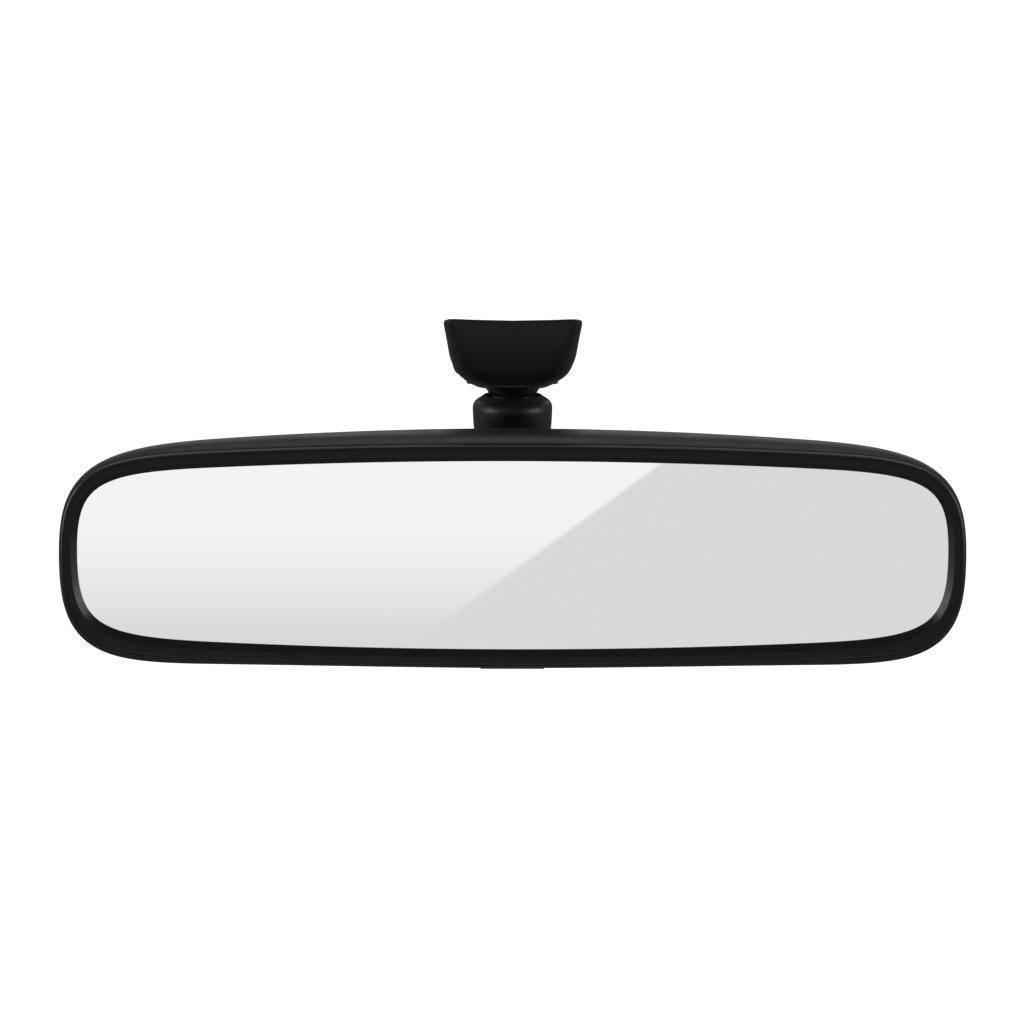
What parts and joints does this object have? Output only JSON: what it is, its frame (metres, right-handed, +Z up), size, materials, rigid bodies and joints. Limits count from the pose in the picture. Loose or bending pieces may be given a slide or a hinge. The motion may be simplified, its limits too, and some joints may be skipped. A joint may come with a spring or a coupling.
{
  "type": "interior rearview mirror",
  "caption": "Interior rearview mirror: wide prismatic glass in a black case with a day/night lever, on a double ball-joint arm and a windshield button mount.",
  "frame": {"origin": "centre of the mouth of the button socket, on the plane of the windshield", "axes": "+X along the mirror, +Y forward and away from the driver, +Z up; the windshield falls toward +Y below the horizontal by 21 degrees"},
  "size_m": [0.2542, 0.078, 0.101],
  "materials": {
    "case_plastic": "fine grained, satin",
    "bezel_plastic": "fine grained, satin",
    "lever_plastic": "fine grained, satin",
    "silvered_glass": "polished",
    "glass_backing": "flat paint film",
    "foam": "open cell, dull",
    "structural_plastic": "glass filled, dull",
    "cast_zinc": "as cast, dull",
    "steel": "plated, satin",
    "spring_steel": "drawn, satin",
    "black_steel": "black coated, satin",
    "seat_plastic": "natural, low gloss"
  },
  "bodies": {
    "mount": {"mount_base": "cast_zinc", "mount_cover": "case_plastic", "cover_screws": "black_steel", "button_set_screw": "black_steel", "button_spring_washer": "spring_steel", "upper_retaining_ring": "steel", "upper_spring_washer": "spring_steel"},
    "upper_seat": {"upper_ball_seat": "seat_plastic"},
    "upper_cup": {"upper_pressure_cup": "steel"},
    "arm": {"upper_ball_stud": "black_steel", "stud_cross_pin": "steel", "arm_core": "structural_plastic", "arm_front_cover": "case_plastic", "arm_rear_cover": "case_plastic", "arm_cover_screws": "black_steel", "lower_ball_stud": "steel", "lower_stud_nut": "steel", "lower_stud_washer": "steel"},
    "lower_cup": {"lower_pressure_cup": "steel"},
    "lower_seat": {"lower_ball_seat": "seat_plastic"},
    "carrier": {"lower_friction_spring": "spring_steel", "socket_carrier": "structural_plastic", "socket_retainer": "cast_zinc", "retainer_screws": "steel"},
    "head": {"rear_housing": "case_plastic", "case_bosses": "case_plastic", "front_bezel": "bezel_plastic", "mirror_glass": "silvered_glass", "glass_backing": "glass_backing", "foam_strips": "foam", "inner_chassis": "structural_plastic", "chassis_screws": "steel", "hinge_pin": "steel", "lever_pivot_pin": "steel", "detent_spring": "spring_steel"},
    "lever": {"day_night_lever": "lever_plastic"}
  },
  "joints": [
    {"name": "arm_twist", "type": "hinge", "parent": "mount", "child": "upper_seat", "pos_m": [0, -0.02035, -0.00417], "axis": [0, 0, 1], "range_deg": [-25, 25]},
    {"name": "arm_swing", "type": "hinge", "parent": "upper_seat", "child": "upper_cup", "pos_m": [0, -0.02035, -0.00417], "axis": [0, 1, 0], "range_deg": [-12, 12]},
    {"name": "arm_tilt", "type": "hinge", "parent": "upper_cup", "child": "arm", "pos_m": [0, -0.02035, -0.00417], "axis": [1, 0, 0], "range_deg": [-12, 12]},
    {"name": "head_pitch", "type": "hinge", "parent": "arm", "child": "lower_cup", "pos_m": [0, -0.04135, -0.04707], "axis": [1, 0, 0], "range_deg": [-12, 12]},
    {"name": "head_yaw", "type": "hinge", "parent": "lower_cup", "child": "lower_seat", "pos_m": [0, -0.04135, -0.04707], "axis": [0, 0, 1], "range_deg": [-15, 15]},
    {"name": "head_roll", "type": "hinge", "parent": "lower_seat", "child": "carrier", "pos_m": [0, -0.04135, -0.04707], "axis": [0, 1, 0], "range_deg": [-8, 8]},
    {"name": "day_night", "type": "hinge", "parent": "carrier", "child": "head", "pos_m": [0, -0.04835, -0.02707], "axis": [-1, 0, 0], "range_deg": [0, 4.2]},
    {"name": "lever_flip", "type": "hinge", "parent": "head", "child": "lever", "pos_m": [0, -0.05235, -0.07657], "axis": [-1, 0, 0], "range_deg": [0, 80]}
  ],
  "couplings": [
    {"joint": "lever_flip", "follows": "day_night", "ratio": 19}
  ]
}
